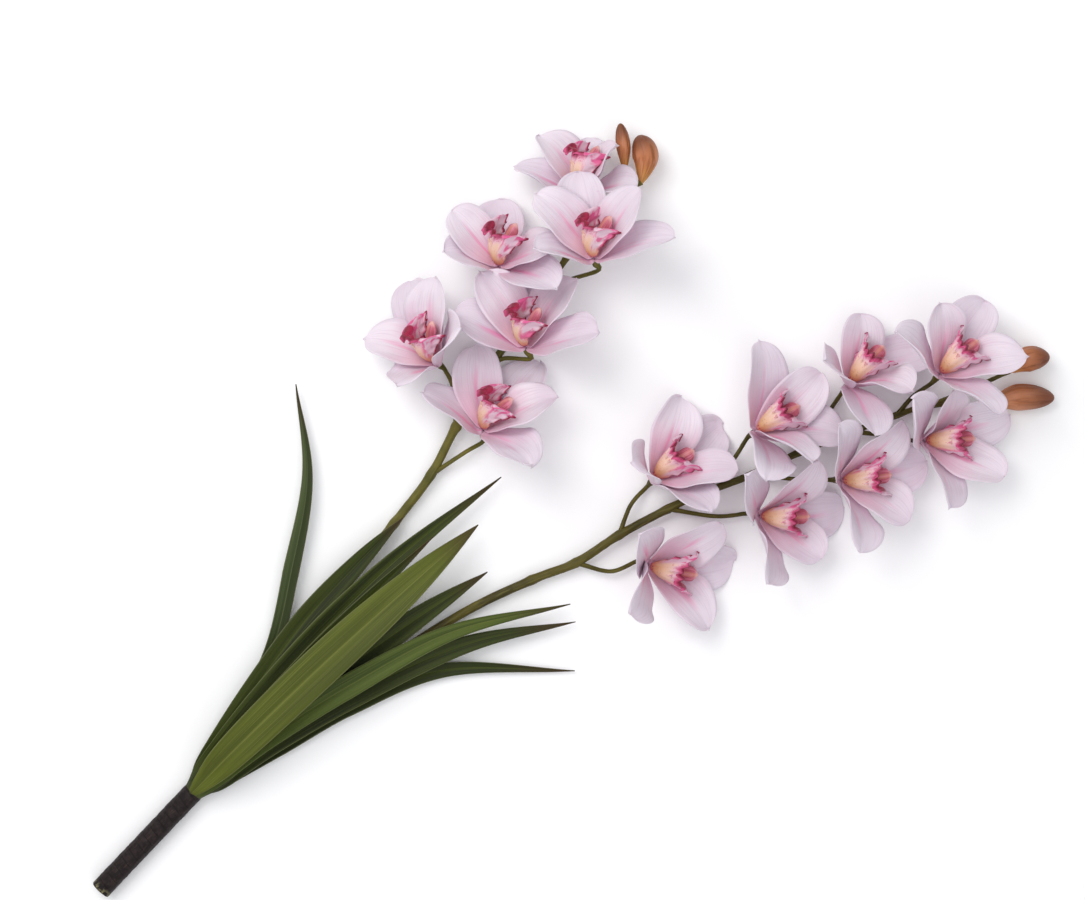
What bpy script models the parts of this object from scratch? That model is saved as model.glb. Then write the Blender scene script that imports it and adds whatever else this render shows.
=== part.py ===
"""Artificial orchid spray, lying flat: a wrapped stem, nine leaves and two flowering spikes.

Metres, +Z up. The spray lies on the plane z = 0 with its stem along +X. Places in the tables
below are in millimetres from the cut end of the stem; ORIGIN moves them to the middle of the
spray, on the surface that it lies on.
"""

import math

import bmesh
import bpy
from mathutils import Matrix, Vector

MM = 0.001

# Driving dimensions, in millimetres
ORIGIN = (386.0, -58.4)  # middle of the spray, from the cut end of the stem
STEM_RADIUS = 7.8
STEM_LENGTH = 100.0
SPIKE_RADIUS = 3.2
PEDICEL_RADIUS = 1.6
CALYX_RADIUS = 3.0
CALYX_LENGTH = 12.0
SHEET = 1.0  # thickness of tepals and leaves
LIP_SHEET = 1.3
GAP = 0.4  # clearance between touching pieces
SEPAL_LENGTH, SEPAL_WIDTH = 63.0, 36.0
PETAL_LENGTH, PETAL_WIDTH = 61.0, 35.0
SEPAL_HUB, PETAL_HUB = 5.0, 3.6  # radii of the flat centres of the two stars
PETAL_RISE = 2.4  # the petals' star sits this far above the sepals' star
LIP_RISE = 4.6
LIP_TURN = {"l": -45.0, "r": 0.0}  # how far the lips of a spike turn round their flowers' axes
LEAF_GAP = 1.5  # from the stem's end to the leaf feet
LEAF_FOOT = 1.6  # half width of a leaf's foot
RING_OF_LEAVES = 7.2  # radius of the ring that the leaf feet make round the stem's end
SEPAL_OPENING, PETAL_OPENING = 10.0, 14.0  # how far a tepal's rise falls off to its tip
CUP, TWIST = 0.28, 6.0
TEPAL_ROWS, TEPAL_COLUMNS = 4, 4
LEAF_ROWS = 11

# name: place of the base (x, y, z), heading of the lip's side, lean from upright, roll
FLOWERS = {
    "l1": ((620, 95, 17.6), 54, 60, -20),
    "l2": ((590, 55, 44), 58, 45, -34),
    "l3": ((539, 102, 22), 54, 45, -30),
    "l4": ((509, 47, 28), 62, 45, -43),
    "l5": ((456, 88, 18), 88, 45, -45),
    "l6": ((443, 28, 14), 36, 45, -28),
    "r1": ((504, -88, 12), 4, 45, -5),
    "r2": ((581, -118, 26), -6, 45, 5),
    "r3": ((655, -144, 14), 10, 45, 9),
    "r4": ((703, -186, 38), 6, 45, -4),
    "r5": ((662, -213, 16), -46, 45, 24),
    "r6": ((598, -188, 24), -46, 45, 22),
    "r7": ((538, -163, 14.8), -54, 45, 25),
    "r8": ((455, -129, 13.5), -64, 45, 23),
}

# flower: the angle round its axis and the rise of each tepal, in degrees, in the order left
# sepal, left petal, dorsal sepal, right petal, right sepal; a third value shortens a tepal
TEPALS = {
    "l1": ((-95, 34, 0.8), (-62, 52, 0.85), (-5, 42, 0.7), (70, 52, 0.7), (96, 16, 0.65)),
    "l2": ((-130, 42, 0.75), (-75, 48), (-28, 44), (42, 48), (80, 22)),
    "l3": ((-125, 42, 0.7), (-70, 45, 0.85), (-20, 28, 0.8), (74, 28, 0.8), (116, 18)),
    "l4": ((-108, 45, 0.9), (-64, 50), (-26, 38), (32, 38), (79, 24)),
    "l5": ((-160, 42, 0.65), (-85, 44, 0.85), (-18, 30), (24, 46), (94, 46, 0.9)),
    "l6": ((-125, 42, 0.9), (-44, 46), (8, 32), (54, 40), (115, 22)),
    "r1": ((-150, 46, 0.7), (-35, 46), (8, 38), (62, 47), (119, 40)),
    "r2": ((-57, 38), (2, 46), (62, 38), (125, 46), (158, 28)),
    "r3": ((-130, 42, 0.75), (-25, 46, 0.8), (52, 30), (118, 46, 0.85), (158, 20)),
    "r4": ((-128, 35), (-62, 46, 0.8), (-8, 36), (58, 46), (122, 34)),
    "r5": ((-125, 30), (-78, 45, 0.75), (4, 43), (60, 48), (139, 42)),
    "r6": ((-112, 35), (-42, 46), (8, 36), (70, 46, 0.9), (135, 38)),
    "r7": ((-127, 28), (-62, 46), (10, 34), (66, 46, 0.85), (143, 40)),
    "r8": ((-136, 33), (-42, 43), (0, 34), (66, 45), (162, 38)),
}

# The main stems of the two spikes: x, y, z along the middle
SPIKES = {
    "left": ((102, 3, 7.5), (124, 3, 7), (150, 6, 6), (190, 13, 5), (230, 19, 5), (347, 29, 6),
             (392, 34, 8), (431, 45, 9), (481, 57, 11), (510, 61, 12), (545, 66, 12),
             (580, 72, 13), (613, 77, 14), (644, 80, 15)),
    "right": ((102, -3, 7), (124, -3, 5.5), (150, -5.5, 4.5), (190, -14, 4), (230, -27, 4),
              (331, -53, 5), (387, -74, 7), (419, -89, 8), (456, -98, 9), (495, -111, 9),
              (520, -121, 10), (557, -139, 10), (593, -153, 10), (631, -171, 11),
              (662, -186, 12), (686, -200, 11), (709, -226, 9)),
}

# flower or bud: the point of the main stem that its stalk leaves, and a point on the way
STALKS = {
    "left": {"l6": (6, (422, 27, 9)), "l5": (7, (450, 66, 12)), "l4": (8, (492, 54, 14)),
             "l3": (9, (525, 80, 13)), "l2": (10, (565, 60, 16)), "l1": (11, (594, 80, 12)),
             "bud_a": (13, (648, 81, 16)), "bud_b": (13, (652, 72, 16))},
    "right": {"r8": (7, (432, -112, 8)), "r1": (8, (478, -89, 9)), "r7": (9, (515, -140, 9)),
              "r2": (10, (552, -121, 14)), "r6": (11, (575, -163, 12)),
              "r3": (12, (628, -148, 10)), "r5": (13, (645, -190, 10)),
              "r4": (14, (680, -185, 14)), "bud_c": (15, (730, -219, 13.5)),
              "bud_d": (16, (711, -227, 9))},
}

# name: base, middle and tip in millimetres, and the largest radius
BUDS = {
    "bud_a": ((653, 83, 17), (666, 97, 19), (677, 111, 20), 5.2),
    "bud_b": ((655, 69, 17), (672, 80, 20), (680, 95, 20), 9.3),
    "bud_c": ((741, -223, 14), (757, -227, 15), (771, -238, 15), 9.0),
    "bud_d": ((716, -230, 10), (733, -242, 10), (752, -262, 10), 9.5),
}

# name: foot angle round the stem (0 is the top, + towards +Y), widest half width, fold, and
# the middle line from the foot to the tip
LEAVES = {
    "leaf_1": (140, 6.0, 0.5, ((209, 27, 5), (271, 61, 9), (329, 100, 10), (372, 153, 8))),
    "leaf_2": (105, 9.0, 0.3, ((180, 19, 14), (250, 27, 15), (310, 28, 13), (355, 27, 16))),
    "leaf_3": (70, 10.0, 0.3, ((180, 11, 20), (260, 12, 21), (340, 8, 19), (427, -5, 10))),
    "leaf_4": (35, 7.0, 0.4, ((170, 5, 25), (240, 5, 29), (300, 4, 28), (361, 1, 24))),
    "leaf_5": (0, 15.0, 0.15, ((150, -1, 30), (240, -5, 39), (320, -11, 35), (390, -17, 22))),
    "leaf_6": (-70, 10.5, 0.3, ((170, -9, 15), (240, -18, 17), (310, -32, 17), (369, -46, 12))),
    "leaf_7": (-35, 9.0, 0.2, ((170, -13, 21), (240, -30, 25), (320, -58, 20), (394, -107, 12))),
    "leaf_8": (-105, 10.0, 0.2, ((170, -18, 11), (240, -38, 11), (320, -72, 12), (387, -119, 8))),
    "leaf_9": (-140, 8.5, 0.3, ((170, -23, 4), (229, -40, 4), (295, -74, 4), (360, -144, 3))),
}

COLOURS = {
    "sepals": (0.70, 0.60, 0.69),
    "petals": (0.72, 0.62, 0.70),
    "lip": (0.60, 0.16, 0.24),
    "bud": (0.43, 0.20, 0.12),
    "leaf": (0.06, 0.09, 0.02),
    "spike": (0.13, 0.11, 0.03),
    "stem": (0.027, 0.014, 0.014),
}


def clear_scene():
    for obj in list(bpy.data.objects):
        bpy.data.objects.remove(obj, do_unlink=True)


def make_material(name, colour, roughness=0.6):
    mat = bpy.data.materials.new(name)
    mat.use_nodes = True
    shader = mat.node_tree.nodes["Principled BSDF"]
    shader.inputs["Base Color"].default_value = (*colour, 1.0)
    shader.inputs["Roughness"].default_value = roughness
    shader.inputs["Metallic"].default_value = 0.0
    return mat


def add_object(name, mesh, mat):
    obj = bpy.data.objects.new(name, mesh)
    obj.data.materials.clear()
    obj.data.materials.append(mat)
    spray.objects.link(obj)
    return obj


def place(point):
    """A table's point, in metres from the frame's origin."""
    return Vector(((point[0] - ORIGIN[0]) * MM, (point[1] - ORIGIN[1]) * MM, point[2] * MM))


def curve_through(points, t):
    """A Catmull-Rom curve through the points, for t from 0 to 1."""
    pts = [Vector(p) for p in points]
    pts = [2 * pts[0] - pts[1]] + pts + [2 * pts[-1] - pts[-2]]
    spans = len(pts) - 3
    i = min(int(t * spans), spans - 1)
    f = t * spans - i
    a, b, c, d = pts[i:i + 4]
    return 0.5 * (2 * b + (c - a) * f + (2 * a - 5 * b + 4 * c - d) * f**2
                  + (3 * b - a - 3 * c + d) * f**3)


def solidify(obj, thickness):
    mod = obj.modifiers.new("thickness", "SOLIDIFY")
    mod.thickness = thickness
    mod.offset = 0.0
    mod.use_even_offset = False
    return obj


def width_of_tepal(u):
    """Half width of a tepal at u of its length, as a share of its widest half width."""
    if u < 0.52:
        return 0.28 + 0.72 * math.sin(0.5 * math.pi * u / 0.52)
    return max(0.16, 1.0 - ((u - 0.52) / 0.48) ** 2.4)


def tepal_point(u, v, angle, length, width, hub, rise, shape):
    """A point of a tepal in its flower's frame, in millimetres: u along it, v across it.

    shape is (rise at the base, rise at the tip, cup, twist), with angles in degrees.
    """
    lift_base, lift_tip, cup, twist = shape
    steps = 12
    radius, height = hub, rise
    for k in range(steps):
        lift = math.radians(lift_base + (lift_tip - lift_base) * u * (k + 0.5) / steps)
        radius += math.cos(lift) * length * u / steps
        height += math.sin(lift) * length * u / steps
    lift = math.radians(lift_base + (lift_tip - lift_base) * u)
    half = 0.5 * width * width_of_tepal(u)
    turn = math.radians(twist) * u
    across, inward = half * v, cup * half * v * v
    side = across * math.cos(turn) - inward * math.sin(turn)
    deep = across * math.sin(turn) + inward * math.cos(turn)
    out = Vector((math.sin(math.radians(angle)), math.cos(math.radians(angle)), 0.0))
    along = Vector((out.y, -out.x, 0.0))
    up = Vector((0.0, 0.0, 1.0))
    point = out * radius + up * height + along * side
    return point + (up * math.cos(lift) - out * math.sin(lift)) * deep


def star_mesh(name, shapes, length, width, hub, rise):
    """A star of tepals on a small flat centre, as one open surface."""
    bm = bmesh.new()
    rim = []
    for angle, share, shape in shapes:
        rows = []
        for i in range(TEPAL_ROWS + 1):
            u = math.sin(0.5 * math.pi * (i / TEPAL_ROWS) ** 1.1)
            row = []
            for j in range(TEPAL_COLUMNS + 1):
                v = 2.0 * j / TEPAL_COLUMNS - 1.0
                p = tepal_point(u, v, angle, length * share, width, hub, rise, shape)
                row.append(bm.verts.new(p * MM))
            rows.append(row)
        for low, high in zip(rows, rows[1:]):
            for j in range(TEPAL_COLUMNS):
                bm.faces.new((low[j], high[j], high[j + 1], low[j + 1]))
        rim += rows[0]
    middle = bm.verts.new((0.0, 0.0, rise * MM))
    for a, b in zip(rim, rim[1:] + rim[:1]):
        bm.faces.new((a, b, middle))
    mesh = bpy.data.meshes.new(name)
    bm.to_mesh(mesh)
    bm.free()
    return mesh


def lip_mesh():
    """The lip with the column behind it, as one closed mesh in the flower's frame."""
    bm = bmesh.new()
    rows = []
    for i in range(5):
        s = i / 4
        half = 3.0 + 10.5 * s**0.8
        keel = -3.0 + 3.0 * s - 4.0 * math.sin(math.pi * s)
        side = 4.0 + 16.0 * s
        row = []
        for x, y in ((-1.0, side), (-0.85, 0.35 * side), (0.0, 0.0), (0.85, 0.35 * side),
                     (1.0, side)):
            row.append(bm.verts.new(Vector((half * x, keel + y, LIP_RISE + 30.0 * s)) * MM))
        rows.append(row)
    for low, high in zip(rows, rows[1:]):
        for j in range(4):
            bm.faces.new((low[j], low[j + 1], high[j + 1], high[j]))
    mesh = bpy.data.meshes.new("lip_surface")
    bm.to_mesh(mesh)
    bm.free()
    lip = bpy.data.objects.new("lip_form", mesh)
    column = bpy.data.objects.new("column_form", column_mesh())
    for obj in (lip, column):
        bpy.context.scene.collection.objects.link(obj)
    solidify(lip, LIP_SHEET * MM)
    union = lip.modifiers.new("column", "BOOLEAN")
    union.operation = "UNION"
    union.solver = "EXACT"
    union.object = column
    depsgraph = bpy.context.evaluated_depsgraph_get()
    joined = bpy.data.meshes.new_from_object(lip.evaluated_get(depsgraph))
    for obj in (lip, column):
        bpy.data.objects.remove(obj, do_unlink=True)
    return joined


def column_mesh():
    """A blunt column that stands on the lip's foot and leans to the dorsal side."""
    bm = bmesh.new()
    foot, bend, tip = Vector((0, -2, LIP_RISE)), Vector((0, 6, 19)), Vector((0, 17, 31))
    rows = []
    for i in range(5):
        t = i / 4
        middle = curve_through((foot, bend, tip), t)
        radius = (3.2, 3.4, 4.0, 4.4, 2.2)[i]
        lean = math.radians(30 + 20 * t)
        row = []
        for k in range(6):
            a = math.tau * k / 6
            deep = 0.75 * radius * math.sin(a)
            offset = Vector((radius * math.cos(a), deep * math.cos(lean), -deep * math.sin(lean)))
            row.append(bm.verts.new((middle + offset) * MM))
        rows.append(row)
    for low, high in zip(rows, rows[1:]):
        for k in range(6):
            bm.faces.new((low[k], low[(k + 1) % 6], high[(k + 1) % 6], high[k]))
    bm.faces.new(list(reversed(rows[0])))
    bm.faces.new(rows[-1])
    mesh = bpy.data.meshes.new("column_surface")
    bm.to_mesh(mesh)
    bm.free()
    return mesh


def flower_matrix(base, heading, lean, roll):
    turn = Matrix.Rotation(math.radians(heading), 4, "Z")
    tilt = Matrix.Rotation(math.radians(lean), 4, "Y")
    spin = Matrix.Rotation(math.radians(roll - 90.0), 4, "Z")
    return Matrix.Translation(place(base)) @ turn @ tilt @ spin


def star_shapes(flower, picks, opening):
    """The angle and shape of each tepal that a star takes, twisted a little each its own way."""
    shapes = []
    for pick in picks:
        angle, rise, share = (*TEPALS[flower][pick], 1.0)[:3]
        twist = TWIST * math.sin(1.7 * sum(map(ord, flower)) + 2.3 * pick)
        shapes.append((angle, share, (rise + opening, rise - opening, CUP, twist)))
    return shapes


def make_flower(name, lip, mats):
    sepals = star_mesh("sepals", star_shapes(name, (0, 2, 4), SEPAL_OPENING),
                       SEPAL_LENGTH, SEPAL_WIDTH, SEPAL_HUB, 0.0)
    petals = star_mesh("petals", star_shapes(name, (1, 3), PETAL_OPENING),
                       PETAL_LENGTH, PETAL_WIDTH, PETAL_HUB, PETAL_RISE)
    pieces = [
        solidify(add_object(f"sepals_{name}", sepals, mats["sepals"]), SHEET * MM),
        solidify(add_object(f"petals_{name}", petals, mats["petals"]), SHEET * MM),
        add_object(f"lip_{name}", lip, mats["lip"]),
    ]
    for piece in pieces:
        piece.matrix_world = flower_matrix(*FLOWERS[name])
    pieces[2].matrix_world @= Matrix.Rotation(math.radians(LIP_TURN[name[0]]), 4, "Z")


def make_leaf(name, mat):
    foot_angle, half_width, fold, points = LEAVES[name]
    a = math.radians(foot_angle)
    foot = Vector((STEM_LENGTH + LEAF_GAP, RING_OF_LEAVES * math.sin(a),
                   STEM_RADIUS + RING_OF_LEAVES * math.cos(a)))
    lead = foot.lerp(Vector(points[0]), 0.3)
    route = (foot, lead) + points
    bm = bmesh.new()
    rows = []
    for i in range(LEAF_ROWS + 1):
        u = i / LEAF_ROWS
        here, ahead = curve_through(route, u), curve_through(route, min(u + 0.02, 1.0))
        if u == 1.0:
            ahead = 2 * here - curve_through(route, 0.98)
        heading = (ahead - here).normalized()
        tilt = a * max(0.0, 1.0 - 4.0 * u)
        normal = Vector((0.0, math.sin(tilt), math.cos(tilt)))
        side = heading.cross(normal).normalized()
        normal = side.cross(heading)
        half = LEAF_FOOT + (half_width - LEAF_FOOT) * math.sin(0.5 * math.pi * min(1.0, u / 0.6)) ** 1.5
        if u > 0.6:
            half = max(0.8, half_width * (1.0 - ((u - 0.6) / 0.4) ** 2))
        row = []
        for v in (-1.0, 0.0, 1.0):
            p = here + side * half * v + normal * fold * half * abs(v) * min(1.0, 3.0 * u)
            row.append(bm.verts.new(place(p)))
        rows.append(row)
    for low, high in zip(rows, rows[1:]):
        for j in range(2):
            bm.faces.new((low[j], low[j + 1], high[j + 1], high[j]))
    mesh = bpy.data.meshes.new(name)
    bm.to_mesh(mesh)
    bm.free()
    solidify(add_object(name, mesh, mat), SHEET * MM)


def tube_mesh(points, radii):
    """A closed tube through the points, with a radius in millimetres at each of them."""
    curve = bpy.data.curves.new("tube", "CURVE")
    curve.dimensions = "3D"
    curve.bevel_depth = MM
    curve.bevel_resolution = 1
    curve.use_fill_caps = True
    spline = curve.splines.new("POLY")
    spline.points.add(len(points) - 1)
    for target, point, radius in zip(spline.points, points, radii):
        target.co = (*place(point), 1.0)
        target.radius = radius
    obj = bpy.data.objects.new("tube", curve)
    bpy.context.scene.collection.objects.link(obj)
    depsgraph = bpy.context.evaluated_depsgraph_get()
    mesh = bpy.data.meshes.new_from_object(obj.evaluated_get(depsgraph))
    bpy.data.objects.remove(obj, do_unlink=True)
    bm = bmesh.new()
    bm.from_mesh(mesh)
    bmesh.ops.remove_doubles(bm, verts=bm.verts, dist=0.00001)
    bm.to_mesh(mesh)
    bm.free()
    return mesh


def stalk_route(spike, stalk):
    """Points and radii of a stalk, from inside the main stem to its flower or bud."""
    joint, via = STALKS[spike][stalk]
    start = SPIKES[spike][joint]
    if stalk not in FLOWERS:
        return (start, via), (PEDICEL_RADIUS, PEDICEL_RADIUS)
    back = flower_matrix(*FLOWERS[stalk]).to_3x3() @ Vector((0.0, 0.0, -1.0))
    base = Vector(FLOWERS[stalk][0])
    calyx, end = base + back * CALYX_LENGTH, base + back * (0.5 * SHEET + GAP)
    radii = (PEDICEL_RADIUS, PEDICEL_RADIUS, 0.85 * CALYX_RADIUS, CALYX_RADIUS)
    return (start, via, calyx, end), radii


def make_spike(name, mat):
    """A main stem with its stalks, joined into one body."""
    route = SPIKES[name]
    slim = 0.8 * SPIKE_RADIUS
    radii = [slim, slim] + [SPIKE_RADIUS * (1.03 - 0.03 * i) for i in range(len(route) - 2)]
    spike = add_object(f"spike_{name}", tube_mesh(route, radii), mat)
    for stalk in STALKS[name]:
        cutter = bpy.data.objects.new(f"stalk_{stalk}", tube_mesh(*stalk_route(name, stalk)))
        cutter.hide_render = True
        cutter.display_type = "WIRE"
        stalks.objects.link(cutter)
        joined = spike.modifiers.new(stalk, "BOOLEAN")
        joined.operation = "UNION"
        joined.solver = "EXACT"
        joined.object = cutter


def make_bud(name, mat):
    base, middle, tip, radius = BUDS[name]
    bm = bmesh.new()
    bmesh.ops.create_uvsphere(bm, u_segments=8, v_segments=7, radius=1.0)
    for vert in bm.verts:
        t = 0.5 * (1.0 + vert.co.z)
        here = curve_through((base, middle, tip), t)
        ahead = curve_through((base, middle, tip), min(1.0, t + 0.05))
        behind = curve_through((base, middle, tip), max(0.0, t - 0.05))
        heading = (ahead - behind).normalized()
        side = heading.cross(Vector((0.0, 0.0, 1.0))).normalized()
        up = side.cross(heading)
        swell = 1.0 - 0.25 * math.cos(math.pi * t)
        vert.co = place(here + (side * vert.co.x - up * vert.co.y) * radius * min(1.0, swell))
    mesh = bpy.data.meshes.new(name)
    bm.to_mesh(mesh)
    bm.free()
    add_object(name, mesh, mat)


def make_stem(mat):
    bpy.ops.mesh.primitive_cylinder_add(vertices=16, radius=STEM_RADIUS * MM,
                                        depth=STEM_LENGTH * MM, end_fill_type="NGON")
    stem = bpy.context.object
    stem.name = "stem_base"
    stem.rotation_euler = (0.0, math.radians(90.0), 0.0)
    stem.location = place((0.5 * STEM_LENGTH, 0.0, STEM_RADIUS))
    stem.data.materials.append(mat)
    for home in list(stem.users_collection):
        home.objects.unlink(stem)
    spray.objects.link(stem)


clear_scene()
spray = bpy.data.collections.new("artificial_orchid_spray")
bpy.context.scene.collection.children.link(spray)
stalks = bpy.data.collections.new("stalks_joined_to_the_spikes")
bpy.context.scene.collection.children.link(stalks)
materials = {name: make_material(name, colour) for name, colour in COLOURS.items()}
lip_form = lip_mesh()
make_stem(materials["stem"])
for leaf in LEAVES:
    make_leaf(leaf, materials["leaf"])
for bud in BUDS:
    make_bud(bud, materials["bud"])
for flower in FLOWERS:
    make_flower(flower, lip_form, materials)
for spike_name in SPIKES:
    make_spike(spike_name, materials["spike"])
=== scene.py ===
"""Artificial orchid spray, lying flat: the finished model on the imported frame.

The tables repeat the solid model's, in millimetres from the cut end of the stem.
"""
import math
import random

import bpy
from mathutils import Matrix, Vector, noise


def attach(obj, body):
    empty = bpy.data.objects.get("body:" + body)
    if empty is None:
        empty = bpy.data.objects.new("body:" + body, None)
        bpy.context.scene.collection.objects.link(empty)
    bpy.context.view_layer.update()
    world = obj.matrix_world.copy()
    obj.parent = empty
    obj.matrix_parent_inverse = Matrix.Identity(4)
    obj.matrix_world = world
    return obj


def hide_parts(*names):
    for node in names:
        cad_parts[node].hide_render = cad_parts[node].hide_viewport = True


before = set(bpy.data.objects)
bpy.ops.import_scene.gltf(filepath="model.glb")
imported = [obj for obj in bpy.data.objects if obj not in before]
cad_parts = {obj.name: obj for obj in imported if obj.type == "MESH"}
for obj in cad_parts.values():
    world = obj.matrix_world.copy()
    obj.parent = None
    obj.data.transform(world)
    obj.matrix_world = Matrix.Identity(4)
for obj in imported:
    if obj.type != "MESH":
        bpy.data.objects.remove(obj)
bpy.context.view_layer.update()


MM = 0.001

# Dimensions of the solid model, in millimetres and degrees
ORIGIN = (386.0, -58.4)  # middle of the spray, from the cut end of the stem
STEM_RADIUS, STEM_LENGTH = 7.8, 100.0
SPIKE_RADIUS, PEDICEL_RADIUS, CALYX_RADIUS, CALYX_LENGTH = 3.2, 1.6, 3.0, 12.0
SEPAL_LENGTH, SEPAL_WIDTH, SEPAL_HUB = 63.0, 36.0, 5.0
PETAL_LENGTH, PETAL_WIDTH, PETAL_HUB = 61.0, 35.0, 3.6
PETAL_RISE, LIP_RISE = 2.4, 4.6  # above the sepals' star
LIP_TURN = {"l": -45.0, "r": 0.0}  # of each spike's lips, round their flowers' axes
SEPAL_OPENING, PETAL_OPENING = 10.0, 14.0  # how far a tepal's rise falls off to its tip
CUP, TWIST = 0.28, 6.0

# Dimensions of the finer shapes, in millimetres and degrees
TEPAL_SHEET, LIP_SHEET, LEAF_SHEET = 0.45, 0.5, 0.55  # thicknesses
TEPAL_NECK = 0.26  # width at the hub, as a share of the tepal's width
TEPAL_WIDEST, TEPAL_END = 0.55, 0.45  # shares of the length before and after the widest place
LIP_REACH = 30.0
LIP_SETTLED, LIP_STRAY = {"l": 0.0, "r": -18.0}, 9.0  # turn from the solid lips, and its spread
LEAF_FOOT, LEAF_RING, LEAF_TUCK = 3.0, 7.0, 2.0  # half width, circle of the feet, reach under the tape
LEAF_BODY, LEAF_END, LEAF_TAPER = 0.58, 0.42, 1.5  # shares of the length, and the taper's power
LEAF_TAPERS = {"leaf_2": 2.0, "leaf_5": 2.3, "leaf_6": 2.1}  # higher is broader towards the tip
SPIKE_STEP, STALK_STEP, BUD_STALK_STEP = 2.5, 1.5, 1.2  # between a tube's rings
SWELL = 0.6  # of a main stem at its stalks and knots
TAPE_TURNS, TAPE_STEP = 13.0, 0.34  # laps of the tape along the stem, and how far each stands up

# Studio, in metres and degrees
FLOOR_CELL, FLOOR_CELLS, FLOOR_DROP = 0.5, 16, 0.0003
LIGHTS = {  # place, size, power and colour
    "key": ((0.1, 1.5, 2.0), 1.4, 26.0, (1.0, 0.985, 0.97)),
    "fill": ((-0.4, -1.7, 2.2), 2.2, 10.0, (0.97, 0.98, 1.0)),
    "top": ((0.2, 0.1, 2.9), 2.4, 20.0, (1.0, 1.0, 1.0)),
}
WORLD_COLOUR, WORLD_STRENGTH = (0.95, 0.96, 1.0, 1.0), 0.55
CAMERA_OVER, CAMERA_HEIGHT = (462.6, -13.4, 0.0), 2.2  # the first in millimetres, as in the tables
CAMERA_TURN, CAMERA_LENS, CAMERA_SENSOR = -46.5, 98.0, 36.0

# name: place of the base, heading of the lip's side, lean from upright, roll
FLOWERS = {
    "l1": ((620, 95, 17.6), 54, 60, -20), "l2": ((590, 55, 44), 58, 45, -34),
    "l3": ((539, 102, 22), 54, 45, -30), "l4": ((509, 47, 28), 62, 45, -43),
    "l5": ((456, 88, 18), 88, 45, -45), "l6": ((443, 28, 14), 36, 45, -28),
    "r1": ((504, -88, 12), 4, 45, -5), "r2": ((581, -118, 26), -6, 45, 5),
    "r3": ((655, -144, 14), 10, 45, 9), "r4": ((703, -186, 38), 6, 45, -4),
    "r5": ((662, -213, 16), -46, 45, 24), "r6": ((598, -188, 24), -46, 45, 22),
    "r7": ((538, -163, 14.8), -54, 45, 25), "r8": ((455, -129, 13.5), -64, 45, 23),
}
# the angle round its axis and the rise of each tepal, in the order left sepal, left petal,
# dorsal sepal, right petal, right sepal; a third value shortens a tepal
TEPALS = {
    "l1": ((-95, 34, 0.8), (-62, 52, 0.85), (-5, 42, 0.7), (70, 52, 0.7), (96, 16, 0.65)),
    "l2": ((-130, 42, 0.75), (-75, 48), (-28, 44), (42, 48), (80, 22)),
    "l3": ((-125, 42, 0.7), (-70, 45, 0.85), (-20, 28, 0.8), (74, 28, 0.8), (116, 18)),
    "l4": ((-108, 45, 0.9), (-64, 50), (-26, 38), (32, 38), (79, 24)),
    "l5": ((-160, 42, 0.65), (-85, 44, 0.85), (-18, 30), (24, 46), (94, 46, 0.9)),
    "l6": ((-125, 42, 0.9), (-44, 46), (8, 32), (54, 40), (115, 22)),
    "r1": ((-150, 46, 0.7), (-35, 46), (8, 38), (62, 47), (119, 40)),
    "r2": ((-57, 38), (2, 46), (62, 38), (125, 46), (158, 28)),
    "r3": ((-130, 42, 0.75), (-25, 46, 0.8), (52, 30), (118, 46, 0.85), (158, 20)),
    "r4": ((-128, 35), (-62, 46, 0.8), (-8, 36), (58, 46), (122, 34)),
    "r5": ((-125, 30), (-78, 45, 0.75), (4, 43), (60, 48), (139, 42)),
    "r6": ((-112, 35), (-42, 46), (8, 36), (70, 46, 0.9), (135, 38)),
    "r7": ((-127, 28), (-62, 46), (10, 34), (66, 46, 0.85), (143, 40)),
    "r8": ((-136, 33), (-42, 43), (0, 34), (66, 45), (162, 38)),
}
# the main stems' middle lines
SPIKES = {
    "left": ((102, 3, 7.5), (124, 3, 7), (150, 6, 6), (190, 13, 5), (230, 19, 5), (347, 29, 6),
             (392, 34, 8), (431, 45, 9), (481, 57, 11), (510, 61, 12), (545, 66, 12),
             (580, 72, 13), (613, 77, 14), (644, 80, 15)),
    "right": ((102, -3, 7), (124, -3, 5.5), (150, -5.5, 4.5), (190, -14, 4), (230, -27, 4),
              (331, -53, 5), (387, -74, 7), (419, -89, 8), (456, -98, 9), (495, -111, 9),
              (520, -121, 10), (557, -139, 10), (593, -153, 10), (631, -171, 11),
              (662, -186, 12), (686, -200, 11), (709, -226, 9)),
}
# how far along the stem its knots are
KNOTS = {"left": (347, 431), "right": (387, 520)}
# the point of the main stem that each stalk leaves, and a point on the way
STALKS = {
    "left": {"l6": (6, (422, 27, 9)), "l5": (7, (450, 66, 12)), "l4": (8, (492, 54, 14)),
             "l3": (9, (525, 80, 13)), "l2": (10, (565, 60, 16)), "l1": (11, (594, 80, 12)),
             "bud_a": (13, (648, 81, 16)), "bud_b": (13, (652, 72, 16))},
    "right": {"r8": (7, (432, -112, 8)), "r1": (8, (478, -89, 9)), "r7": (9, (515, -140, 9)),
              "r2": (10, (552, -121, 14)), "r6": (11, (575, -163, 12)),
              "r3": (12, (628, -148, 10)), "r5": (13, (645, -190, 10)),
              "r4": (14, (680, -185, 14)), "bud_c": (15, (730, -219, 13.5)),
              "bud_d": (16, (711, -227, 9))},
}
# base, middle, tip and largest radius
BUDS = {
    "bud_a": ((653, 83, 17), (666, 97, 19), (677, 111, 20), 5.2),
    "bud_b": ((655, 69, 17), (672, 80, 20), (680, 95, 20), 9.3),
    "bud_c": ((741, -223, 14), (757, -227, 15), (771, -238, 15), 9.0),
    "bud_d": ((716, -230, 10), (733, -242, 10), (752, -262, 10), 9.5),
}
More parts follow.
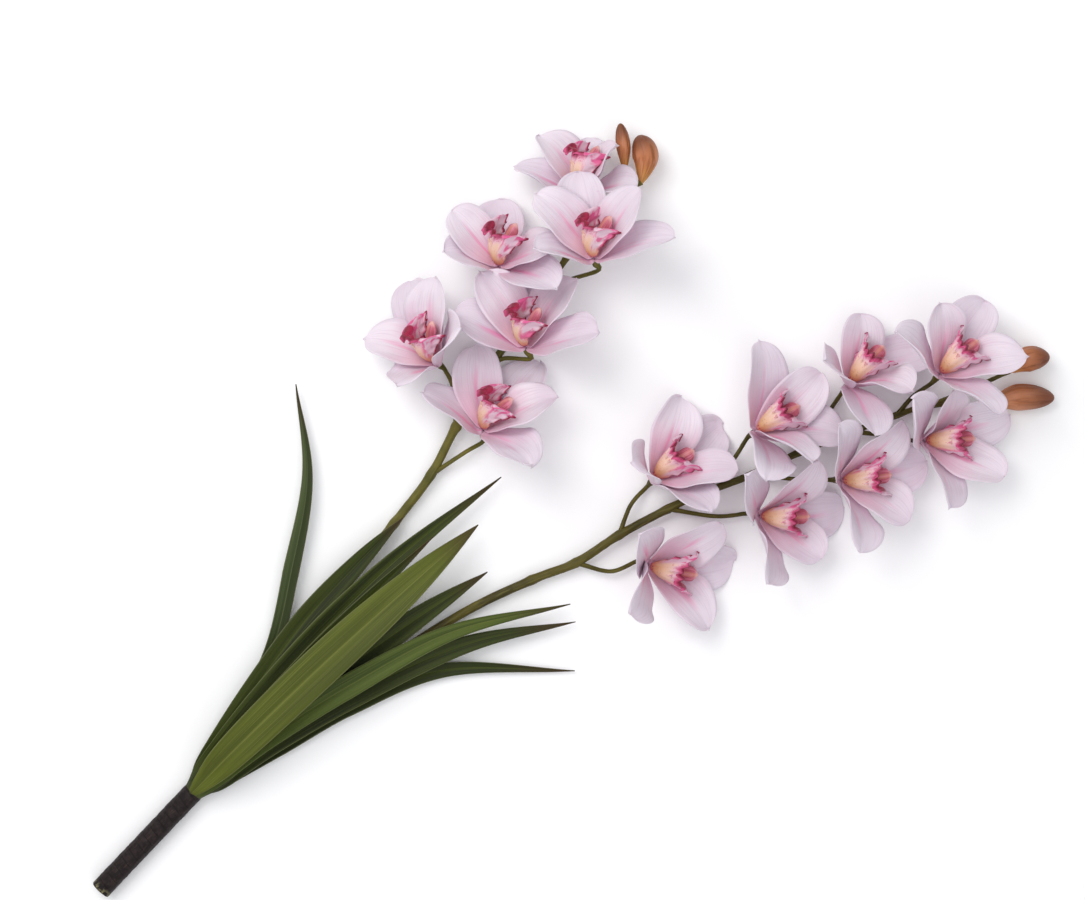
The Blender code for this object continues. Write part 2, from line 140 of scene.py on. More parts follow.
# foot angle round the stem, widest half width, fold, and the middle line
LEAVES = {
    "leaf_1": (140, 6.0, 0.5, ((209, 27, 5), (271, 61, 9), (329, 100, 10), (372, 153, 8))),
    "leaf_2": (105, 9.0, 0.3, ((180, 19, 14), (250, 27, 15), (310, 28, 13), (355, 27, 16))),
    "leaf_3": (70, 10.0, 0.3, ((180, 11, 20), (260, 12, 21), (340, 8, 19), (427, -5, 10))),
    "leaf_4": (35, 7.0, 0.4, ((170, 5, 25), (240, 5, 29), (300, 4, 28), (361, 1, 24))),
    "leaf_5": (0, 15.0, 0.15, ((150, -1, 30), (240, -5, 39), (320, -11, 35), (390, -17, 22))),
    "leaf_6": (-70, 10.5, 0.3, ((170, -9, 15), (240, -18, 17), (310, -32, 17), (369, -46, 12))),
    "leaf_7": (-35, 9.0, 0.2, ((170, -13, 21), (240, -30, 25), (320, -58, 20), (394, -107, 12))),
    "leaf_8": (-105, 10.0, 0.2, ((170, -18, 11), (240, -38, 11), (320, -72, 12), (387, -119, 8))),
    "leaf_9": (-140, 8.5, 0.3, ((170, -23, 4), (229, -40, 4), (295, -74, 4), (360, -144, 3))),
}


# ---------------------------------------------------------------- shapes

def place(p):
    """A table's point, in metres from the frame's origin."""
    return Vector(((p[0] - ORIGIN[0]) * MM, (p[1] - ORIGIN[1]) * MM, p[2] * MM))


def smooth(x, low=0.0, high=1.0):
    """0 below low, 1 above high, and a soft step between them."""
    x = min(1.0, max(0.0, (x - low) / (high - low)))
    return x * x * (3.0 - 2.0 * x)


def curve_through(points, t):
    """A Catmull-Rom curve through the points, for t from 0 to 1."""
    pts = [Vector(p) for p in points]
    pts = [2 * pts[0] - pts[1]] + pts + [2 * pts[-1] - pts[-2]]
    spans = len(pts) - 3
    i = min(int(t * spans), spans - 1)
    f = t * spans - i
    a, b, c, d = pts[i:i + 4]
    return 0.5 * (2 * b + (c - a) * f + (2 * a - 5 * b + 4 * c - d) * f**2
                  + (3 * b - a - 3 * c + d) * f**3)


class Shape:
    """Grids of points that become one mesh, with a UV map and a tint for each grid."""

    def __init__(self):
        self.verts, self.faces, self.uvs, self.tints = [], [], [], []

    def grid(self, rows, uvs, tint=0.0, loop=False, caps=False):
        start, wide = len(self.verts), len(rows[0])
        for row, uv_row in zip(rows, uvs):
            self.verts += [tuple(p) for p in row]
            self.uvs += uv_row
            self.tints += [tint] * wide
        for i in range(len(rows) - 1):
            for j in range(wide if loop else wide - 1):
                k = (j + 1) % wide
                a, b = start + i * wide, start + (i + 1) * wide
                self.faces.append((a + j, a + k, b + k, b + j))
        if caps:
            self.faces.append(tuple(start + j for j in reversed(range(wide))))
            self.faces.append(tuple(start + (len(rows) - 1) * wide + j for j in range(wide)))

    def tube(self, points, radii, sides=14, tint=0.0, rough=0.0, v_scale=0.01):
        """A tube with closed ends, through points and radii in metres."""
        rows, uvs, length = [], [], 0.0
        for i, here in enumerate(points):
            ahead = points[min(i + 1, len(points) - 1)] - points[max(i - 1, 0)]
            length += (here - points[max(i - 1, 0)]).length
            heading = ahead.normalized()
            side = heading.cross(Vector((0, 0, 1))).normalized()
            up = side.cross(heading)
            row, uv_row = [], []
            for k in range(sides):
                a = math.tau * k / sides
                bump = 1.0 + rough * noise.noise(Vector((math.cos(a), math.sin(a), length * 260)))
                row.append(here + (side * math.cos(a) - up * math.sin(a)) * radii[i] * bump)
                uv_row.append((k / sides, length / v_scale))
            rows.append(row)
            uvs.append(uv_row)
        self.grid(rows, uvs, tint, loop=True, caps=True)

    def rest_on_floor(self, height):
        """Points near the surface or below it bend along it instead."""
        soft = 1.5 * MM

        def lifted(z):
            return z if z > height + soft else height + soft * math.exp((z - height) / soft - 1.0)

        self.verts = [(x, y, lifted(z)) for x, y, z in self.verts]

    def build(self, name, mat, slot, nodes, thickness=0.0, matrix=None):
        mesh = bpy.data.meshes.new(name)
        if matrix is not None:
            self.verts = [tuple(matrix @ Vector(v)) for v in self.verts]
        self.rest_on_floor(0.5 * thickness + 0.0001)
        mesh.from_pydata(self.verts, [], self.faces)
        layer = mesh.uv_layers.new(name="along")
        for loop in mesh.loops:
            layer.data[loop.index].uv = self.uvs[loop.vertex_index]
        tint = mesh.attributes.new("tint", "FLOAT", "POINT")
        for i, value in enumerate(self.tints):
            tint.data[i].value = value
        mesh.polygons.foreach_set("use_smooth", [True] * len(mesh.polygons))
        mesh.materials.append(mat)
        mesh.update()
        obj = bpy.data.objects.new(name, mesh)
        bpy.context.scene.collection.objects.link(obj)
        if thickness:
            mod = obj.modifiers.new("thickness", "SOLIDIFY")
            mod.thickness, mod.offset = thickness, 0.0
        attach(obj, "root")
        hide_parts(*nodes)


# ---------------------------------------------------------------- materials

def srgb(r, g, b):
    return tuple(((c / 255 + 0.055) / 1.055) ** 2.4 if c > 10 else c / 3294.6 for c in (r, g, b)) + (1.0,)


class Paint:
    """A node material on the Principled shader, built from the UV map and noise."""

    def __init__(self, name, roughness=0.55, **sockets):
        self.mat = bpy.data.materials.new(name)
        self.mat.use_nodes = True
        self.tree = self.mat.node_tree
        self.shader = self.tree.nodes["Principled BSDF"]
        self.shader.inputs["Roughness"].default_value = roughness
        for key, value in sockets.items():
            self.shader.inputs[key.replace("_", " ")].default_value = value
        uv = self.add("ShaderNodeUVMap", uv_map="along").outputs[0]
        split = self.add("ShaderNodeSeparateXYZ", Vector=uv)
        self.across, self.along = split.outputs[0], split.outputs[1]
        self.tint = self.add("ShaderNodeAttribute", attribute_name="tint").outputs["Fac"]
        self.place = self.add("ShaderNodeTexCoord").outputs["Object"]

    def add(self, kind, **values):
        node = self.tree.nodes.new(kind)
        for key, value in values.items():
            socket = node.inputs.get(key) if not hasattr(node, key) else None
            if socket is None:
                setattr(node, key, value)
            else:
                self.feed(socket, value)
        return node

    def feed(self, socket, value):
        """Link the socket to another node's output, or set its own value."""
        if isinstance(value, bpy.types.NodeSocket):
            self.tree.links.new(value, socket)
        else:
            socket.default_value = value

    def math(self, operation, a, b=0.0, clamp=False):
        node = self.tree.nodes.new("ShaderNodeMath")
        node.operation, node.use_clamp = operation, clamp
        for socket, value in zip(node.inputs, (a, b)):
            self.feed(socket, value)
        return node.outputs[0]

    def vector(self, x, y, z=0.0):
        node = self.tree.nodes.new("ShaderNodeCombineXYZ")
        for socket, value in zip(node.inputs, (x, y, z)):
            self.feed(socket, value)
        return node.outputs[0]

    def noise(self, vector, scale=1.0, detail=3.0, distortion=0.0):
        return self.add("ShaderNodeTexNoise", Vector=vector, Scale=scale, Detail=detail,
                        Distortion=distortion).outputs["Fac"]

    def streaks(self, across, along, detail=2.0):
        """Noise drawn out along the length, different in every grid."""
        return self.noise(self.vector(self.math("MULTIPLY", self.across, across),
                                      self.math("MULTIPLY", self.along, along),
                                      self.math("MULTIPLY", self.tint, 37.0)), 1.0, detail)

    def fade(self, value, low, high):
        node = self.add("ShaderNodeMapRange", interpolation_type="SMOOTHSTEP", Value=value)
        node.inputs["From Min"].default_value, node.inputs["From Max"].default_value = low, high
        return node.outputs[0]

    def ramp(self, value, *stops):
        node = self.add("ShaderNodeValToRGB", Fac=value)
        while len(node.color_ramp.elements) < len(stops):
            node.color_ramp.elements.new(0.5)
        for element, (position, colour) in zip(node.color_ramp.elements, stops):
            element.position, element.color = position, srgb(*colour)
        return node.outputs[0]

    def mix(self, amount, a, b):
        node = self.tree.nodes.new("ShaderNodeMix")
        node.data_type = "RGBA"
        for socket, value in ((node.inputs[0], amount), (node.inputs[6], a), (node.inputs[7], b)):
            self.feed(socket, srgb(*value) if isinstance(value, tuple) else value)
        return node.outputs[2]

    def finish(self, colour, height=None, strength=0.3, depth=0.0005):
        self.tree.links.new(colour, self.shader.inputs["Base Color"])
        if height is not None:
            bump = self.add("ShaderNodeBump", Strength=strength, Distance=depth, Height=height)
            self.tree.links.new(bump.outputs[0], self.shader.inputs["Normal"])
        return self.mat


def tepal_material(name, pale, flush):
    p = Paint(name, 0.5, Sheen_Weight=0.12, Specular_IOR_Level=0.3, Subsurface_Weight=0.12,
              Subsurface_Radius=(0.006, 0.004, 0.004))
    middle = p.math("ABSOLUTE", p.math("SUBTRACT", p.across, 0.5))
    veins = p.streaks(46.0, 2.2, 3.0)
    broad = p.streaks(9.0, 1.3, 2.0)
    cloud = p.noise(p.place, 30.0, 2.0)
    colour = p.mix(p.fade(cloud, 0.35, 0.7), pale, (223, 208, 220))
    colour = p.mix(p.math("MULTIPLY", p.fade(veins, 0.48, 0.66), 0.36), colour, (208, 188, 204))
    reach = p.math("ADD", 0.42, p.math("MULTIPLY", broad, 0.5))
    base = p.math("SUBTRACT", 1.0, p.math("DIVIDE", p.along, reach), clamp=True)
    colour = p.mix(p.math("MULTIPLY", base, 0.66), colour, flush)
    rib = p.math("MULTIPLY", p.math("SUBTRACT", 1.0, p.fade(middle, 0.0, 0.13)),
                 p.math("SUBTRACT", 1.0, p.fade(p.along, 0.3, 0.85)))
    colour = p.mix(p.math("MULTIPLY", rib, p.fade(broad, 0.4, 0.62)), colour, (236, 148, 188))
    # painted light: the tepal's outer edges are made lighter, for light shining through the thin cloth
    colour = p.mix(p.math("MULTIPLY", p.fade(middle, 0.42, 0.5), 0.4), colour, (228, 216, 227))
    weave = p.noise(p.place, 1500.0, 1.0)
    height = p.math("ADD", veins, p.math("MULTIPLY", weave, 0.25))
    return p.finish(colour, height, 0.32, 0.0006)


def lip_material():
    p = Paint("lip_cloth", 0.42, Specular_IOR_Level=0.4)
    ragged = p.noise(p.vector(p.math("MULTIPLY", p.across, 11.0), p.math("MULTIPLY", p.along, 4.0),
                              p.math("MULTIPLY", p.tint, 9.0)), 1.0, 3.0, 0.6)
    run = p.math("ADD", p.along, p.math("MULTIPLY", p.math("SUBTRACT", ragged, 0.5), 0.22))
    colour = p.ramp(run, (0.0, (196, 70, 100)), (0.07, (222, 140, 110)), (0.18, (230, 178, 128)),
                    (0.36, (238, 198, 166)), (0.5, (240, 204, 186)), (0.59, (236, 190, 204)),
                    (0.66, (222, 104, 146)), (0.73, (184, 40, 80)), (0.88, (120, 24, 48)),
                    (1.0, (214, 84, 132)))
    spots = p.noise(p.vector(p.math("MULTIPLY", p.across, 26.0), p.math("MULTIPLY", p.along, 20.0)), 1.0, 2.0)
    before_frill = p.math("SUBTRACT", 1.0, p.fade(p.along, 0.68, 0.74))
    band = p.math("MULTIPLY", p.fade(p.along, 0.3, 0.55), before_frill)
    colour = p.mix(p.math("MULTIPLY", p.fade(spots, 0.58, 0.68), p.math("MULTIPLY", band, 0.8)),
                   colour, (206, 70, 118))
    off = p.math("ABSOLUTE", p.math("SUBTRACT", p.across, 0.5))
    side = p.fade(off, 0.2, 0.34)
    blotch = p.mix(p.fade(ragged, 0.46, 0.6), (230, 200, 214), (226, 96, 150))
    past_foot = p.math("MULTIPLY", p.fade(p.along, 0.08, 0.34), 0.92)
    colour = p.mix(p.math("MULTIPLY", side, past_foot), colour, blotch)
    edge = p.math("MULTIPLY", p.fade(off, 0.455, 0.485), p.fade(p.along, 0.12, 0.3))
    colour = p.mix(edge, colour, (158, 34, 70))
    return p.finish(colour, p.math("ADD", spots, ragged), 0.4, 0.0007)


def column_material():
    p = Paint("column_cloth", 0.45, Specular_IOR_Level=0.4)
    edge = p.math("ABSOLUTE", p.math("SUBTRACT", p.across, 0.5))
    grain = p.streaks(20.0, 3.0)
    colour = p.mix(p.fade(edge, 0.1, 0.24), (204, 128, 116), (184, 88, 106))
    colour = p.mix(p.math("MULTIPLY", p.fade(grain, 0.45, 0.65), 0.6), colour, (226, 140, 165))
    colour = p.mix(p.fade(p.along, 0.9, 0.99), colour, (228, 176, 168))
    return p.finish(colour, grain, 0.3, 0.0005)


def leaf_material(name, dark, mid, light, split=False):
    p = Paint(name, 0.52, Specular_IOR_Level=0.2)
    middle = p.math("ABSOLUTE", p.math("SUBTRACT", p.across, 0.5))
    veins = p.streaks(38.0, 3.0, 2.0)
    broad = p.streaks(4.0, 2.5, 2.0)
    colour = p.mix(p.fade(broad, 0.3, 0.7), dark, mid)
    colour = p.mix(p.math("MULTIPLY", p.fade(veins, 0.5, 0.72), 0.38), colour, light)
    # painted shade: with split, one half of the leaf is darkened, for the shaded side of its V fold
    if split:
        colour = p.mix(p.math("MULTIPLY", p.fade(p.across, 0.47, 0.53), 0.75), colour, (42, 50, 22))
    rib = p.math("SUBTRACT", 1.0, p.fade(middle, 0.012, 0.035))
    colour = p.mix(p.math("MULTIPLY", rib, 0.45), colour, light)
    colour = p.mix(p.math("MULTIPLY", p.fade(middle, 0.46, 0.5), 0.35), colour, (140, 142, 100))
    colour = p.mix(p.math("MULTIPLY", p.fade(p.along, 0.86, 1.0), 0.7), colour, (70, 48, 34))
    colour = p.mix(p.math("SUBTRACT", 1.0, p.fade(p.along, 0.0, 0.05)), colour, (60, 55, 30))
    height = p.math("SUBTRACT", veins, p.math("MULTIPLY", rib, 0.8))
    return p.finish(colour, height, 0.5, 0.0006)


def spike_material():
    p = Paint("spike_coat", 0.5, Specular_IOR_Level=0.22)
    cloud = p.noise(p.place, 45.0, 4.0)
    grain = p.noise(p.vector(p.math("MULTIPLY", p.across, 12.0), p.math("MULTIPLY", p.along, 0.5)), 1.0, 3.0)
    stem = p.mix(p.fade(cloud, 0.35, 0.65), (78, 76, 26), (106, 98, 38))
    shade = p.mix(p.fade(cloud, 0.35, 0.65), (60, 54, 16), (84, 76, 26))
    colour = p.mix(p.tint, stem, shade)
    colour = p.mix(p.math("MULTIPLY", p.fade(grain, 0.5, 0.7), 0.5), colour, (116, 110, 50))
    return p.finish(colour, grain, 0.5, 0.0007)


def bud_material():
    p = Paint("bud_cloth", 0.5, Specular_IOR_Level=0.35)
    grain = p.streaks(34.0, 3.0, 3.0)
    broad = p.streaks(6.0, 1.6, 2.0)
    colour = p.mix(p.fade(p.along, 0.0, 0.45), (204, 148, 66), (184, 114, 72))
    colour = p.mix(p.math("MULTIPLY", p.fade(grain, 0.45, 0.66), 0.65), colour, (146, 84, 50))
    colour = p.mix(p.math("MULTIPLY", p.fade(broad, 0.48, 0.66), 0.5), colour, (214, 150, 116))
    colour = p.mix(p.math("MULTIPLY", p.fade(p.along, 0.45, 0.92), 0.8), colour, (98, 52, 36))
    return p.finish(colour, grain, 0.5, 0.0008)


def tape_material():
    p = Paint("tape_wrap", 0.55, Specular_IOR_Level=0.2)
    turns = p.math("FRACT", p.math("ADD", p.math("MULTIPLY", p.along, TAPE_TURNS), p.across))
    worn = p.noise(p.place, 300.0, 5.0)
    stretched = p.vector(p.math("MULTIPLY", p.across, 30.0), p.math("MULTIPLY", p.along, 12.0))
    creases = p.noise(stretched, 1.0, 4.0)
    colour = p.mix(p.fade(worn, 0.35, 0.7), (24, 15, 15), (42, 31, 30))
    colour = p.mix(p.math("MULTIPLY", p.fade(creases, 0.55, 0.7), 0.5), colour, (62, 49, 45))
    colour = p.mix(p.math("SUBTRACT", 1.0, p.fade(turns, 0.0, 0.12)), colour, (14, 9, 9))
    colour = p.mix(p.math("MULTIPLY", p.math("SUBTRACT", 1.0, p.fade(p.along, 0.0, 0.06)),
                          p.fade(worn, 0.45, 0.6)), colour, (122, 118, 84))
    height = p.math("ADD", turns, p.math("MULTIPLY", creases, 0.7))
    return p.finish(colour, height, 0.7, 0.0008)


def floor_material():
    p = Paint("pale_floor", 0.9, Specular_IOR_Level=0.1)
    return p.finish(p.mix(p.noise(p.place, 3.0, 2.0), (254, 254, 254), (255, 255, 255)))


# ---------------------------------------------------------------- flowers

def flower_matrix(base, heading, lean, roll):
    turn = Matrix.Rotation(math.radians(heading), 4, "Z")
    tilt = Matrix.Rotation(math.radians(lean), 4, "Y")
    spin = Matrix.Rotation(math.radians(roll - 90.0), 4, "Z")
    return Matrix.Translation(place(base)) @ turn @ tilt @ spin


def tepal_width(u):
    """The width at the share u of the length, as a share of the tepal's width."""
    if u < TEPAL_WIDEST:
        return 0.30 + 0.78 * math.sin(0.5 * math.pi * u / TEPAL_WIDEST)
    return 1.08 * (1.0 - min(1.0, (u - TEPAL_WIDEST) / TEPAL_END) ** 2.3) ** 0.54


def add_tepal(shape, angle, length, width, hub, rise, bend, wild):
    """A tepal of rows along u and columns across v, from the flower's centre to its tip."""
    lift_base, lift_tip, cup, twist = bend
    ruffle, phase = wild.uniform(1.2, 3.2), wild.uniform(0.0, math.tau)
    sickle, point = wild.uniform(-3.5, 3.5), wild.uniform(0.0, 2.6)
    recurve, crease = wild.uniform(4.0, 26.0), wild.uniform(0.3, 0.9)
    out = Vector((math.sin(math.radians(angle)), math.cos(math.radians(angle)), 0.0))
    side_way, up = Vector((out.y, -out.x, 0.0)), Vector((0.0, 0.0, 1.0))
    count, columns = 24, 14
    rows, uvs = [], []
    radius, height, last = hub, rise, 0.0
    for k in range(2):
        half = 0.5 * width * TEPAL_NECK * (0.5 + 0.4 * k)
        rows.append([(out * hub * (0.1 + 0.45 * k) + up * rise + side_way * half * (2 * j / columns - 1)) * MM
                     for j in range(columns + 1)])
        uvs.append([(j / columns, 0.0) for j in range(columns + 1)])
    for i in range(count + 1):
        u = math.sin(0.5 * math.pi * i / count)
        lift = math.radians(lift_base + (lift_tip - lift_base) * 0.5 * (u + last)
                            - recurve * smooth(0.5 * (u + last), 0.7, 1.0))
        radius += math.cos(lift) * length * (u - last)
        height += math.sin(lift) * length * (u - last)
        last = u
        half = 0.5 * width * tepal_width(u)
        turn = math.radians(twist) * u
        row, uv_row = [], []
        for j in range(columns + 1):
            v = 2.0 * j / columns - 1.0
            across = half * v + sickle * math.sin(math.pi * u) + sickle * 0.4 * u
            deep = cup * half * v * v - crease * math.exp(-(v / 0.16) ** 2) * smooth(u, 0.0, 0.3)
            wave = math.sin(8.0 * u + phase + (1.9 if v > 0 else 0.0))
            deep += ruffle * abs(v) ** 2.5 * wave * smooth(u, 0.15, 0.6)
            deep += 0.8 * noise.noise(Vector((v * 1.6 + phase, u * 2.6, angle * 0.1)))
            ahead = point * (1.0 - abs(v)) ** 2 * u**10
            lie = math.radians(lift_tip - recurve) if u > 0.9 else lift
            s = across * math.cos(turn) - deep * math.sin(turn)
            d = across * math.sin(turn) + deep * math.cos(turn)
            p = out * (radius + ahead * math.cos(lie)) + up * (height + ahead * math.sin(lie)) + side_way * s
            p += (up * math.cos(lift) - out * math.sin(lift)) * d
            row.append(p * MM)
            uv_row.append((j / columns, u))
        rows.append(row)
        uvs.append(uv_row)
    shape.grid([list(reversed(row)) for row in rows], [list(reversed(row)) for row in uvs], wild.random())


def add_star(name, kind, picks, sizes, rise, opening, mat, matrix, flower):
    length, width, hub = sizes
    shape = Shape()
    wild = random.Random(f"{kind}{flower}")
    for pick in picks:
        angle, lift, share = (*TEPALS[flower][pick], 1.0)[:3]
        twist = TWIST * math.sin(1.7 * sum(map(ord, flower)) + 2.3 * pick)
        add_tepal(shape, angle, length * share, width * (0.9 + 0.1 * share), hub, rise,
                  (lift + opening, lift - opening, CUP, twist), wild)
    shape.build(name, mat, kind, [f"{kind}_{flower}"], TEPAL_SHEET * MM, matrix)


def lip_point(s, t, curl, fat):
    """The lip's surface: s along it from its foot, t across it, curl over its front edge."""
    half = 3.0 + 10.5 * s**0.8
    keel = -3.0 + 3.0 * s - 4.0 * math.sin(math.pi * s)
    lobe = smooth(abs(t), 0.45, 1.0)
    side = (4.0 + 16.0 * s) * (1.0 + 0.22 * math.sin(math.pi * smooth(s, 0.3, 1.0)) * lobe)
    x = half * math.sin(1.3 * t) / math.sin(1.3) * (1.0 + 0.12 * lobe * s)
    y = keel + side * abs(t) ** 2.1
    z = LIP_RISE + LIP_REACH * s - 5.0 * s**4 * smooth(abs(t), 0.72, 1.0)
    rim = smooth(abs(t), 0.7, 1.0)
    x += 1.3 * rim * smooth(s, 0.15, 0.5) * math.sin(26.0 * s + 2.0 * t)
    y += 1.1 * rim * smooth(s, 0.15, 0.5) * math.sin(33.0 * s + 1.0)
    frill = 1.5 * s**3 * math.sin(15.0 * t + 1.2) * (1.0 - 0.5 * lobe)
    y += frill
    z += 0.9 * s**4 * math.sin(23.0 * t)
    if curl:
        weight = 0.25 + 0.75 * smooth(1.0 - abs(t - 0.28 * fat) / 0.62)
        turn = math.radians(150.0) * curl
        reach = (1.2 + 3.2 * weight) * (1.0 - 0.75 * smooth(abs(t), 0.5, 0.95))
        y -= reach * (1.0 - math.cos(turn)) + curl * 1.3 * math.sin(19.0 * t + 2.0)
        z += reach * math.sin(turn) * 0.8 + curl * 1.1 * math.sin(27.0 * t)
        x *= 1.0 + 0.06 * curl
    return Vector((x, y, z)) * MM


def add_lip(flower, matrix, fat, lip_mat, column_mat):
    wild = random.Random(f"lip{flower}")
    shape, columns, rows_in, rows_out = Shape(), 44, 22, 9
    rows, uvs = [], []
    for i in range(rows_in + rows_out + 1):
        s, curl = min(1.0, i / rows_in), max(0.0, (i - rows_in) / rows_out)
        rows.append([lip_point(s, 2.0 * j / columns - 1.0, curl, fat) for j in range(columns + 1)])
        uvs.append([(j / columns, 0.7 * s + 0.3 * curl) for j in range(columns + 1)])
    shape.grid(rows, uvs, wild.random())
    shape.build(f"lip_shell_{flower}", lip_mat, "lip", [f"lip_{flower}"], LIP_SHEET * MM, matrix)
    callus = Shape()
    for way in (-1, 1):
        path = [Vector((way * (1.1 + 1.0 * k / 12), -4.4 + 0.1 * k + 0.9 * math.sin(k), 8.0 + 1.9 * k)) * MM
                for k in range(12)]
        sizes = [1.3 * MM * math.sin(math.pi * (k + 0.6) / 12.2) ** 0.6 for k in range(12)]
        callus.tube(path, sizes, 10, wild.random(), 0.1, 0.05)
    callus.build(f"lip_callus_{flower}", lip_mat, "lip", [f"lip_{flower}"], 0.0, matrix)
    column = Shape()
    foot, bend, tip = Vector((0, -2, LIP_RISE)), Vector((0, 7, 19)), Vector((0, 19, 33))
    rows, uvs, count, sides = [], [], 22, 24
    for i in range(count + 1):
        t = i / count
        middle = curve_through((foot, bend, tip), t)
        radius = (2.8 + 2.3 * smooth(t, 0.1, 0.75)) * math.sqrt(max(0.004, 1.0 - smooth(t, 0.8, 1.0) ** 2))
        lean = math.radians(30 + 20 * t)
        row, uv_row = [], []
        for k in range(sides):
            a = math.tau * k / sides
            wing = 1.0 + 0.16 * abs(math.cos(a)) ** 6 * smooth(t, 0.2, 0.6)
            hollow = 0.9 * math.exp(-(math.cos(a) / 0.4) ** 2) if math.sin(a) < 0 else 0
            deep = 0.62 * radius * math.sin(a) - hollow
            offset = Vector((radius * wing * math.cos(a), deep * math.cos(lean), -deep * math.sin(lean)))
            row.append((middle + offset) * MM)
            uv_row.append((abs(math.cos(a)) * 0.5 + 0.5, t))
        rows.append(row)
        uvs.append(uv_row)
    column.grid(rows, uvs, wild.random(), loop=True, caps=True)
    column.build(f"column_{flower}", column_mat, "lip", [f"lip_{flower}"], 0.0, matrix)


# ---------------------------------------------------------------- green parts

def add_leaf(name, mat):
    foot_angle, half_width, fold, points = LEAVES[name]
    a = math.radians(foot_angle)
    wild = random.Random(name)
    foot = Vector((STEM_LENGTH - LEAF_TUCK, LEAF_RING * math.sin(a), STEM_RADIUS + LEAF_RING * math.cos(a)))
    lead = foot.lerp(Vector(points[0]), 0.3)
    route = (foot, lead) + points
    shape, count, columns = Shape(), 90, 10
    phase, wave = wild.uniform(0, math.tau), wild.uniform(0.3, 0.9)
    rows, uvs = [], []
    for i in range(count + 1):
        u = i / count
        here = curve_through(route, u)
        ahead = curve_through(route, min(u + 0.01, 1.0))
        heading = (ahead - curve_through(route, max(u - 0.01, 0.0))).normalized()
        tilt = a * max(0.0, 1.0 - 4.0 * u)
        normal = Vector((0.0, math.sin(tilt), math.cos(tilt)))
        side = heading.cross(normal).normalized()
        normal = side.cross(heading)
        half = LEAF_FOOT + (half_width - LEAF_FOOT) * math.sin(0.5 * math.pi * min(1.0, u / 0.6)) ** 1.4
        if u > LEAF_BODY:
            gone = ((u - LEAF_BODY) / LEAF_END) ** LEAF_TAPERS.get(name, LEAF_TAPER)
            half = half_width * (1.0 - gone) * 0.985 + 0.25
        row, uv_row = [], []
        for j in range(columns + 1):
            v = 2.0 * j / columns - 1.0
            lift = fold * half * abs(v) * min(1.0, 3.0 * u)
            lift -= 0.35 * half * v * v * max(0.0, 1.0 - 6.0 * u)
            lift += wave * v * abs(v) * math.sin(9.0 * u + phase) * smooth(u, 0.1, 0.4) * half * 0.12
            lift += 0.35 * noise.noise(Vector((u * 9.0, v * 1.5, phase)))
            row.append(place(here + side * half * v + normal * lift))
            uv_row.append((j / columns, u))
        rows.append(row)
        uvs.append(uv_row)
    shape.grid([list(reversed(r)) for r in rows], [list(reversed(r)) for r in uvs], wild.random())
    shape.build(f"{name}_blade", mat, "leaf", [name], LEAF_SHEET * MM)


def resampled(points, step):
    """Points at even steps along a smooth curve through the given ones."""
    spans = len(points) - 1
    fine = [curve_through(points, k / (spans * 12)) for k in range(spans * 12 + 1)]
    result, gone = [fine[0]], 0.0
    for a, b in zip(fine, fine[1:]):
        gone += (b - a).length
        if gone >= step:
            result.append(b)
            gone = 0.0
    if (result[-1] - fine[-1]).length > 0.2 * step:
        result.append(fine[-1])
    return result


def add_spike(name, mat):
    shape, route, tint = Shape(), SPIKES[name], 0.0 if name == "left" else 1.0
    line = resampled(route, SPIKE_STEP)
    joints = [Vector(route[joint]) for joint, _ in STALKS[name].values()]
    radii = []
    for i, p in enumerate(line):
        share = i / (len(line) - 1)
        radius = SPIKE_RADIUS * (0.84 + 0.2 * smooth(share, 0.05, 0.25) - 0.4 * smooth(share, 0.35, 1.0))
        near = min((p - j).length for j in joints)
        radius += SWELL * math.exp(-(near / 4.0) ** 2)
        radius += sum(SWELL * math.exp(-((p.x - x) / 3.0) ** 2) for x in KNOTS[name])
        radii.append(radius * MM)
    shape.tube([place(p) for p in line], radii, 18, tint, 0.06)
    for stalk, (joint, via) in STALKS[name].items():
        start = Vector(route[joint])
        if stalk in FLOWERS:
            back = flower_matrix(*FLOWERS[stalk]).to_3x3() @ Vector((0.0, 0.0, -1.0))
            base = Vector(FLOWERS[stalk][0])
            calyx = [base + back * away for away in (CALYX_LENGTH, 5.0, 1.2)]
            path = resampled((start, via, *calyx), STALK_STEP)
        else:
            foot = Vector(BUDS[stalk][0])
            toward = (Vector(BUDS[stalk][1]) - foot).normalized()
            path = resampled((start, via, foot + toward * 2.0), BUD_STALK_STEP)
        sizes, length = [], sum((b - a).length for a, b in zip(path, path[1:]))
        gone = 0.0
        for k, p in enumerate(path):
            gone += (p - path[max(k - 1, 0)]).length
            left = length - gone
            radius = PEDICEL_RADIUS * (1.0 + 0.35 * math.exp(-gone / 6.0))
            if stalk in FLOWERS:
                radius += (CALYX_RADIUS - PEDICEL_RADIUS) * smooth(1.0 - left / CALYX_LENGTH)
            else:
                radius += 0.9 * smooth(1.0 - left / 7.0)
            sizes.append(radius * MM)
        shape.tube([place(p) for p in path], sizes, 14, tint, 0.08)
    shape.build(f"spike_{name}_stems", mat, "spike", [f"spike_{name}"])


